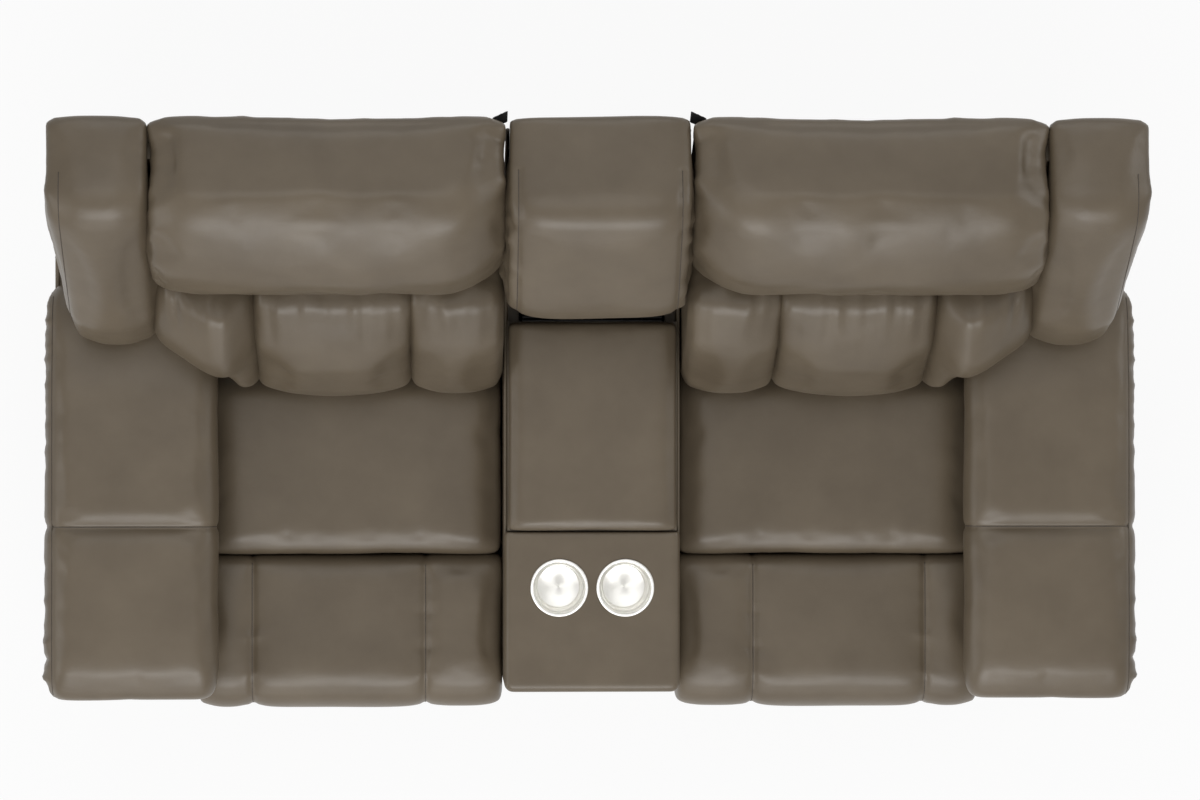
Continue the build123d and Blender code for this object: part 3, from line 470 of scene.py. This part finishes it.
# Upholstered pieces
def cushion(node, name, index, shape, cap, voxel=VOXEL, smooth=4, fill=0.7, support=None, sewn=None,
            bend=None, walls=None, close=0):
    """A padded piece over one solid of a CAD node: even mesh, puffed, then shaped and creased.

    shape(co, no) gives how far each point moves along its normal. support(co, no) is 0 where it rests.
    sewn(co) is true along the seams that hold the leather down, and bend(co) moves the whole form first.
    walls are the two places in x that the piece presses against and doesn't pass.
    close fills folds narrower than twice its length: the form is swollen, meshed again and drawn back.
    """
    co, faces = solids_of(node)[index]
    obj = remeshed(name, co, faces, voxel)
    mesh = obj.data
    if close:
        swollen = points_of(mesh) + close * normals_of(mesh)
        faces = [tuple(polygon.vertices) for polygon in mesh.polygons]
        bpy.data.objects.remove(obj)
        obj = remeshed(name, swollen, faces, voxel)
        mesh = obj.data
        set_points(mesh, points_of(mesh) - close * normals_of(mesh))
    if bend is not None:
        set_points(mesh, bend(points_of(mesh)))
    if cap:
        rest, move = inflated(obj, cap, None if sewn is None else sewn(points_of(mesh)))
        free = np.ones(len(rest)) if support is None else support(rest, normals_of(mesh))
        set_points(mesh, rest + move * free[:, None])
    set_points(mesh, relaxed(points_of(mesh), edges_of(mesh), smooth))
    if shape is not None:
        co, no = points_of(mesh), normals_of(mesh)
        set_points(mesh, co + no * shape(co, no)[:, None])
    if walls is not None:
        co = points_of(mesh)
        co[:, 0] = np.clip(co[:, 0], *walls)
        set_points(mesh, co)
    return obj


def mirrored(obj, name):
    """The same piece on the other side of the console."""
    mesh = obj.data.copy()
    mesh.transform(Matrix.Scale(-1, 4, (1, 0, 0)))
    mesh.flip_normals()
    twin = bpy.data.objects.new(name, mesh)
    bpy.context.scene.collection.objects.link(twin)
    return twin


def paired(part, body, shape, cap, index=0, suffix="", fill=0.7, **options):
    """A cushion of the right-hand seat and its twin on the left."""
    right = cushion(f"right_{part}", f"right_{part}_soft{suffix}", index, shape, cap, fill=fill, **options)
    left = mirrored(right, f"left_{part}_soft{suffix}")
    for side, obj in zip(SIDES, (right, left)):
        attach(obj, body if body == "base" else f"{side}_{body}")
        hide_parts(f"{side}_{part}")
    return right, left


def single(part, body, shape, cap, index=0, suffix="", fill=0.7, **options):
    obj = cushion(part, f"{part}_soft{suffix}", index, shape, cap, fill=fill, **options)
    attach(obj, body)
    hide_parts(part)
    return obj


def fold(p, seed, length, squeeze):
    """Fine gathers that run across a seam: a field drawn out along the axes with a small squeeze."""
    wave = Field(seed, length)(p * squeeze)
    return np.sign(wave) * np.abs(wave) ** 1.6


def head_shape(co, no):
    p = upright(co)
    low, high = limits("right_head_cushion")
    ends = np.minimum(p[:, 0] - low[0], high[0] - p[:, 0])
    gather = near(ends, 0.030) * fold(p, 3, 0.034, (0.3, 1, 1)) * 0.0012
    under = near(p[:, 2] - HEAD_LOW, 0.03) * fold(p, 6, 0.045, (1, 0.2, 0.2)) * 0.0010
    rear = near(p[:, 2] - HEAD_SEAM, 0.04) * (p[:, 1] > -0.04) * fold(p, 5, 0.05, (1, 0.2, 0.2)) * 0.0014
    return gather + under + rear + Field(4, 0.34)(p) * 0.0016


def lumbar_shape(co, no):
    p = upright(co)
    tuck = near(p[:, 2] - HEAD_LOW, 0.055) * fold(p, 8, 0.030, (1, 0.25, 0.25)) * 0.0017
    return tuck + Field(9, 0.22)(p) * 0.0014


def wing_taper(co):
    """The wing and its cover narrow a little towards the arm."""
    p = upright(co)
    low = 1 - (1 - np.clip((WING_TOP - p[:, 2]) / WING_HEIGHT, 0, 1)) ** 2
    reach = smoothstep(p[:, 0], LUMBAR_EDGE, WING_EDGE)
    co[:, 0] -= WING_NARROWING * low * reach
    return co


def wing_shape(co, no):
    p = upright(co)
    outer = near(p[:, 0] - WING_EDGE, 0.02) * fold(p, 12, 0.04, (0.3, 1, 1)) * 0.0009
    return outer + Field(13, 0.3)(p) * 0.0014


def seat_shape(co, no):
    low, high = limits("right_seat_cushion")
    ends = np.minimum(co[:, 0] - low[0], high[0] - co[:, 0])
    return (Field(16, 0.3)(co) * 0.0012 - near(ends, 0.03) * 0.001) * (no[:, 2] > 0)


def bolster_shape(co, no):
    move = Field(18, 0.2)(co) * 0.0009
    for x in SEAMS_X:
        d = co[:, 0] - x
        move -= 0.0030 * near(d, 0.0055)
        move += near(d, 0.022) * fold(co, 19, 0.035, (0.25, 1, 1)) * 0.0007
    return move


def arm_shape(co, no):
    strip = smoothstep(co[:, 0], ARM_STRIP_X - 0.004, ARM_STRIP_X + 0.012)
    at_ends = 0.25 + near(co[:, 1] - ARM_FRONT, 0.16) + near(co[:, 1] - ARM_BACK, 0.2)
    gathers = strip * at_ends * fold(co, 22, 0.026, (0.3, 1, 0.3)) * 0.0018
    seam = 0.0024 * near(co[:, 1] - ARM_SEAM_Y, 0.005)
    seam += 0.0016 * near(co[:, 0] - ARM_STRIP_X, 0.005) * (no[:, 2] > 0)
    return gathers - seam + Field(23, 0.3)(co) * 0.0013


def console_back_shape(co, no):
    p = upright(co)
    edge = near(np.abs(p[:, 0]) - CONSOLE_SEAM_X, 0.006) * (p[:, 1] < -0.06)
    side = smoothstep(np.abs(p[:, 0]), CONSOLE_SEAM_X - 0.01, CONSOLE_SEAM_X + 0.012)
    pleats = side * smoothstep(-p[:, 1], 0.06, 0.12) * fold(p, 26, 0.034, (0.3, 1, 1)) * 0.0012
    return pleats - 0.0022 * edge + Field(27, 0.25)(p) * 0.0014


def footrest_shape(co, no):
    move = Field(30, 0.2)(co) * 0.0009
    for x in SEAMS_X:
        move -= 0.0026 * near(co[:, 0] - x, 0.0055)
    return move


def along_panels(co):
    """Points on the two sewn channels of a seat front or footrest."""
    return np.any([np.abs(co[:, 0] - x) < 0.0035 for x in SEAMS_X], axis=0)


def along_arm(co):
    return np.abs(co[:, 1] - ARM_SEAM_Y) < 0.004


def along_console(co):
    return np.abs(np.abs(co[:, 0]) - CONSOLE_SEAM_X) < 0.0035


def above(z, fade=0.02):
    """Support of a cushion that rests on something at height z."""
    return lambda co, no: smoothstep(co[:, 2], z, z + fade)


def build_cushions():
    made = {}
    walls = (limits("console_cover")[1][0] + WALL_GAP, limits("right_arm_frame")[0][0] - WALL_GAP)
    back_walls = (walls[0] + BACK_CLEARANCE, WING_EDGE)
    made["head"] = paired("head_cushion", "back", head_shape, 0.014, walls=back_walls)[0]
    pads = (("_inner", 5, 0), ("_centre", 5, 0), ("_outer", 45, 0.022))
    for index, (suffix, smooth, close) in enumerate(pads):
        made["lumbar" + suffix] = paired("lumbar_cushion", "back", lumbar_shape, 0.012, index, suffix,
                                         smooth=smooth, close=close, walls=back_walls)[0]
    made["wing"] = paired("wing_bolster", "back", wing_shape, 0.012, bend=wing_taper)[0]
    base = limits("right_seat_cushion")[0][2]
    made["seat"] = paired("seat_cushion", "seat", seat_shape, 0.007, support=above(base), walls=walls)[0]
    made["bolster"] = paired("seat_bolster", "seat", bolster_shape, 0.006, voxel=0.005, sewn=along_panels,
                             smooth=6, walls=walls)[0]
    made["footrest"] = paired("footrest_pad", "footrest", footrest_shape, 0.006, voxel=0.005,
                              sewn=along_panels, smooth=5, walls=walls)[0]
    base = limits("right_arm_pillow")[0][2]
    made["arm"] = paired("arm_pillow", "base", arm_shape, 0.006, voxel=0.005, support=above(base),
                         sewn=along_arm, smooth=8)[0]
    made["console_back"] = single("console_back_cushion", "base", console_back_shape, 0.012, voxel=0.005,
                                  sewn=along_console, smooth=3)
    made["lid"] = single("console_lid_pad", "console_lid", None, 0.003, voxel=0.005, smooth=2)
    made["arm_cover"] = paired("arm_cover", "base", None, 0, voxel=0.006, smooth=2)[0]
    made["back_cover"] = paired("back_cover", "back", None, 0, 1, voxel=0.006, smooth=2, bend=wing_taper)[0]
    ears = paired("back_cover", "back", None, 0, 0, "_ear", voxel=0.0015, smooth=1)
    for ear in ears:
        ear.data.materials[0] = CLOTH
    made["console_cover"] = single("console_cover", "base", None, 0, voxel=0.005, smooth=2)
    made["deck"] = single("console_deck", "base", None, 0, voxel=0.004, smooth=1)
    for index, suffix in enumerate(("_a", "_b")):
        single("rear_valance", "base", None, 0, index, suffix, voxel=0.004, smooth=2)
    return made


# Sewn seams
def cut_loops(obj, point, normal):
    """Closed rows of points where a plane cuts a piece's surface."""
    bm = bmesh.new()
    bm.from_mesh(obj.data)
    geom = bm.verts[:] + bm.edges[:] + bm.faces[:]
    cut = bmesh.ops.bisect_plane(bm, geom=geom, plane_co=point, plane_no=normal)["geom_cut"]
    links = {}
    for edge in cut:
        if isinstance(edge, bmesh.types.BMEdge):
            a, b = edge.verts
            links.setdefault(a, []).append(b)
            links.setdefault(b, []).append(a)
    loops, seen = [], set()
    for start in sorted(links, key=lambda v: tuple(v.co)):
        if start in seen:
            continue
        row, at = [], start
        while at is not None:
            seen.add(at)
            row.append(tuple(at.co))
            at = next((v for v in links[at] if v not in seen), None)
        loops.append(np.array(row))
    bm.free()
    return loops


def seam_row(obj, point, normal, keep):
    """The longest stretch of a plane's cut through a piece where keep(points) is true, evened out."""
    best = np.zeros((0, 3))
    for loop in cut_loops(obj, point, normal):
        mask = keep(loop)
        if not mask.any():
            continue
        if not mask.all():
            first = int(np.flatnonzero(~mask)[0])
            loop, mask = np.roll(loop, -first, 0), np.roll(mask, -first)
        ends = np.flatnonzero(np.diff(np.concatenate([[0], mask.astype(int), [0]])))
        for start, stop in zip(ends[::2], ends[1::2]):
            if stop - start > len(best):
                best = loop[start:stop]
    step = np.concatenate([[0], np.cumsum(np.linalg.norm(np.diff(best, axis=0), axis=1))])
    at = np.arange(0, step[-1], SEAM_STEP)
    row = np.stack([np.interp(at, step, best[:, k]) for k in range(3)], 1)
    for _ in range(2):
        row[1:-1] = 0.25 * row[:-2] + 0.5 * row[1:-1] + 0.25 * row[2:]
    return row


def tube(row, radius, sides=6):
    """Points and faces of a round cord along a row of points."""
    along = np.gradient(row, axis=0)
    along /= np.linalg.norm(along, axis=1, keepdims=True)
    across = np.cross(along, np.array([0.31, 0.59, 0.74]))
    across /= np.linalg.norm(across, axis=1, keepdims=True)
    third = np.cross(along, across)
    turn = np.linspace(0, 2 * math.pi, sides, endpoint=False)
    ring = np.cos(turn)[None, :, None] * across[:, None] + np.sin(turn)[None, :, None] * third[:, None]
    co = (row[:, None] + radius * ring).reshape(-1, 3)
    faces = []
    for i in range(len(row) - 1):
        for j in range(sides):
            a, b = i * sides + j, i * sides + (j + 1) % sides
            faces.append((a, b, b + sides, a + sides))
    faces.append(tuple(reversed(range(sides))))
    faces.append(tuple(range(len(co) - sides, len(co))))
    return co, faces


def sewn_piece(name, body, rows, radius, mirror=1):
    """One piece of thread from several rows, in the right-hand place or mirrored."""
    points, faces = [], []
    for row in rows:
        co, quads = tube(row * (mirror, 1, 1), radius)
        start = sum(len(p) for p in points)
        points.append(co)
        faces += [[v + start for v in (f if mirror > 0 else reversed(f))] for f in quads]
    obj = new_object(name, np.concatenate(points), faces, THREAD)
    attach(obj, body)


def leaned_row(x, back):
    """Points up the back at one place across it and one distance behind its hinge line."""
    up = np.linspace(BACK_ROW_LOW, BACK_ROW_HIGH, 60)
    y = HINGE.y + back * math.cos(RAKE) + up * math.sin(RAKE)
    z = HINGE.z - back * math.sin(RAKE) + up * math.cos(RAKE)
    return np.column_stack([np.full(len(up), x), y, z])


def build_seams(made):
    x_axis, y_axis = (1, 0, 0), (0, 1, 0)
    crease = limits("right_seat_bolster")[1][1]
    seat, foot, arm, back = [], [], [], []
    for x in SEAMS_X:
        seat.append(seam_row(made["bolster"], (x, 0, 0), x_axis,
                             lambda p: (p[:, 1] < crease - 0.012) & (p[:, 2] > 0.385)))
        front = limits("right_footrest_pad")[1][1]
        foot.append(seam_row(made["footrest"], (x, 0, 0), x_axis, lambda p: p[:, 1] < front - 0.012))
    under = limits("right_arm_pillow")[0][2] + 0.02
    arm.append(seam_row(made["arm"], (0, ARM_SEAM_Y, 0), y_axis,
                        lambda p: (p[:, 2] > under) & (p[:, 0] < ARM_STRIP_X)))
    arm.append(seam_row(made["arm"], (ARM_STRIP_X, 0, 0), x_axis, lambda p: p[:, 2] > under + 0.01))
    low, high = limits("right_arm_cover")
    for y in (low[1] + 0.016, high[1] - 0.016):
        arm.append(seam_row(made["arm_cover"], (0, y, 0), y_axis,
                            lambda p: (p[:, 0] > high[0] - 0.004) & (p[:, 2] < 0.55)))
    back.append(seam_row(made["wing"], (WING_EDGE - 0.030, 0, 0), x_axis, lambda p: upright(p)[:, 1] < -0.07))
    for x in (0.318, 0.588):
        back.append(seam_row(made["back_cover"], (x, 0, 0), x_axis, lambda p: upright(p)[:, 1] > 0.004))
    for side, sign in zip(SIDES, (1, -1)):
        sewn_piece(f"{side}_seat_seams", f"{side}_seat", seat, SEAM_RADIUS, sign)
        sewn_piece(f"{side}_footrest_seams", f"{side}_footrest", foot, SEAM_RADIUS, sign)
        sewn_piece(f"{side}_arm_seams", "base", arm, SEAM_RADIUS, sign)
        sewn_piece(f"{side}_back_seams", f"{side}_back", back, SEAM_RADIUS, sign)
    console = []
    for x in (-CONSOLE_SEAM_X, CONSOLE_SEAM_X):
        console.append(seam_row(made["console_back"], (x, 0, 0), x_axis, lambda p: upright(p)[:, 1] < -0.06))
    sewn_piece("console_seams", "base", console, SEAM_RADIUS)
    edge = limits("console_rear_panel")[1][0] + PIPING_RADIUS
    piping = [leaned_row(x, PANEL_BACK) for x in (-edge, edge)]
    sewn_piece("console_rear_piping", "base", piping, PIPING_RADIUS)
    inner = limits("right_back_frame")[0][0] - ROLL_RADIUS
    for side, sign in zip(SIDES, (1, -1)):
        co, faces = tube(leaned_row(sign * inner, ROLL_RADIUS), ROLL_RADIUS, 20)
        roll = new_object(f"{side}_back_inner_roll", co, faces, LEATHER)
        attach(roll, f"{side}_back")


# Cloth under the seats
def stretched_cloth(name, body, low, high, material):
    """A level sheet stapled out flat, dipping a little between its fixings."""
    steps = 40
    u, v = np.meshgrid(np.linspace(0, 1, steps + 1), np.linspace(0, 1, steps + 1), indexing="ij")
    dip = 0.0006 * np.sin(math.pi * u) * np.sin(math.pi * v)
    x = low[0] + (high[0] - low[0]) * u
    y = low[1] + (high[1] - low[1]) * v
    co = np.stack([x, y, low[2] - dip], 2).reshape(-1, 3)
    faces = []
    for i in range(steps):
        for j in range(steps):
            a = i * (steps + 1) + j
            faces.append((a, a + steps + 1, a + steps + 2, a + 1))
    obj = new_object(name, co, faces, material)
    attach(obj, body)
    return obj


def build_cloths():
    rails = limits("base_rails")
    stretched_cloth("dust_cover", "base", (rails[0][0] + 0.01, rails[0][1] + 0.01, rails[0][2] - 0.0006),
                    (rails[1][0] - 0.01, rails[1][1] - 0.01), CLOTH)
    low, high = limits("right_seat_frame")
    top = limits("right_seat_springs")[1][2] + 0.0008
    for side, sign in zip(SIDES, (1, -1)):
        ends = sorted((sign * (low[0] + 0.004), sign * (high[0] - 0.004)))
        stretched_cloth(f"{side}_seat_deck", f"{side}_seat", (ends[0], low[1] + 0.006, top),
                        (ends[1], high[1] - 0.006), CLOTH)


# Cup wells: radius of the rim, thickness of the floor, height of the step as a share of the depth
CUP_RIM = 0.051
CUP_FLOOR = 0.0030
CUP_STEP = 0.62


def lathe(profile, centre=(0, 0, 0), steps=96):
    """Points and faces of a turned form from (radius, height) points about a vertical axis."""
    rings = []
    for radius, height in profile:
        turn = np.linspace(0, 2 * math.pi, steps, endpoint=False)
        rings.append(np.stack([radius * np.cos(turn), radius * np.sin(turn), np.full(steps, height)], 1))
    co = np.concatenate(rings) + centre
    faces = []
    for ring in range(len(profile) - 1):
        for step in range(steps):
            a, b = ring * steps + step, ring * steps + (step + 1) % steps
            faces.append((a, b, b + steps, a + steps))
    return co, faces


def build_cups():
    """Two stepped wells of spun steel, each with a rolled rim and three rivets in its floor."""
    low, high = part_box("cup_holders")
    rim = CUP_RIM
    top = high.z - low.z
    floor = CUP_FLOOR
    step = top * CUP_STEP
    profile = [
        (0.0004, floor), (0.0366, floor), (0.0374, floor + 0.0005), (0.0381, floor + 0.0022),
        (0.0388, floor + 0.012),
        (0.0404, step - 0.0030), (0.0408, step - 0.0008), (0.0415, step), (0.0424, step + 0.0004),
        (0.0430, step + 0.0016), (0.0434, step + 0.004), (0.0448, top - 0.0034), (0.0452, top - 0.0014),
        (0.0460, top - 0.0003), (0.0472, top), (0.0490, top - 0.0001), (0.0504, top - 0.0006),
        (rim, top - 0.0014), (0.0506, top - 0.0022), (0.0460, top - 0.0024), (0.0444, step),
        (0.0420, step - 0.003), (0.0395, 0.004), (0.0386, 0.0006), (0.0378, 0.0), (0.0004, 0.0),
    ]
    dome = [(0.0011, -0.0002), (0.0010, 0.0003), (0.0006, 0.0006), (0.0001, 0.0007)]
    for side, x in zip(SIDES, (high.x - rim, low.x + rim)):
        points, faces = lathe(profile)
        for turn in (0.6, 2.7, 4.8):
            spot = (0.0024 * math.cos(turn), 0.0024 * math.sin(turn), floor)
            co, quads = lathe(dome, spot, 12)
            faces = faces + [[v + len(points) for v in quad] for quad in quads]
            points = np.concatenate([points, co])
        cup = new_object(f"{side}_cup_well", points, faces, SPUN)
        cup.location = (x, (low.y + high.y) / 2, low.z)
        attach(cup, "base")
        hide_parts("cup_holders")


# Stage
def any_ray(tree):
    """1 for camera, glossy and transmission rays, 0 for the rays that light the object."""
    rays = tree.nodes.new("ShaderNodeLightPath")
    value = rays.outputs["Is Camera Ray"]
    for name in ("Is Glossy Ray", "Is Transmission Ray"):
        node = add(tree, "ShaderNodeMath", operation="MAXIMUM")
        tree.links.new(value, node.inputs[0])
        tree.links.new(rays.outputs[name], node.inputs[1])
        value = node.outputs[0]
    return value


def build_stage():
    bpy.ops.mesh.primitive_plane_add(size=30, location=(0, 0, 0))
    floor = bpy.context.object
    floor.name = "floor"
    mat, tree, shader = new_material("floor_white")
    shader.inputs["Base Color"].default_value = (0.82, 0.82, 0.82, 1)
    shader.inputs["Roughness"].default_value = 0.9
    glow = add(tree, "ShaderNodeEmission", Strength=1.0)
    share = add(tree, "ShaderNodeMath", operation="MULTIPLY")
    tree.links.new(any_ray(tree), share.inputs[0])
    share.inputs[1].default_value = FLOOR_GLOW
    mix = tree.nodes.new("ShaderNodeMixShader")
    tree.links.new(share.outputs[0], mix.inputs["Fac"])
    tree.links.new(shader.outputs["BSDF"], mix.inputs[1])
    tree.links.new(glow.outputs["Emission"], mix.inputs[2])
    tree.links.new(mix.outputs["Shader"], tree.nodes["Material Output"].inputs["Surface"])
    floor.data.materials.append(mat)


def area_light(name, location, target, size, power):
    data = bpy.data.lights.new(name, "AREA")
    data.shape = "RECTANGLE"
    data.size, data.size_y = size
    data.energy = power
    obj = bpy.data.objects.new(name, data)
    obj.location = location
    obj.rotation_euler = (Vector(target) - Vector(location)).to_track_quat("-Z", "Y").to_euler()
    bpy.context.scene.collection.objects.link(obj)


def build_lights():
    area_light("front", (-0.2, -4.0, 5.4), (0, 0, 0.6), (4.0, 1.6), 182)
    area_light("low_front", (-0.8, -5.0, 2.4), (0, 0, 0.5), (5.0, 1.6), 46)
    area_light("top", (-0.6, 2.2, 6.8), (0, 0, 0.5), (4.0, 3.0), 60)
    area_light("left", (-4.4, -1.2, 3.0), (0, 0, 0.6), (2.4, 2.0), 34)
    area_light("right", (4.4, 1.6, 3.0), (0, 0, 0.6), (2.4, 2.0), 38)
    area_light("rear", (0.0, 4.6, 2.6), (0, 0, 0.6), (4.5, 1.6), 45)
    world = bpy.data.worlds.new("studio")
    bpy.context.scene.world = world
    world.use_nodes = True
    tree = world.node_tree
    sky = tree.nodes["Background"]
    sky.inputs["Color"].default_value = (1, 1, 1, 1)
    seen = any_ray(tree)
    level = add(tree, "ShaderNodeMapRange", To_Min=WORLD_LIGHT, To_Max=WORLD_SEEN)
    tree.links.new(seen, level.inputs["Value"])
    tree.links.new(level.outputs["Result"], sky.inputs["Strength"])


def build_camera():
    data = bpy.data.cameras.new("camera")
    distance = CAMERA_HEIGHT - PHOTO_SCALE_Z
    data.lens = data.sensor_width * distance / (PHOTO_WIDTH * PHOTO_SCALE)
    obj = bpy.data.objects.new("camera", data)
    obj.location = (CAMERA_X, AIM_Y, CAMERA_HEIGHT)
    look = Vector((AIM_X, AIM_Y, AIM_Z)) - obj.location
    tilt = math.atan2(look.x, -look.z)
    obj.rotation_euler = (0, -tilt, 0)
    data.clip_end = 100
    bpy.context.scene.collection.objects.link(obj)
    bpy.context.scene.camera = obj


paint_frame()
build_camera()
build_lights()
build_stage()
build_seams(build_cushions())
build_cloths()
build_cups()

bpy.context.scene.view_settings.view_transform = "Standard"
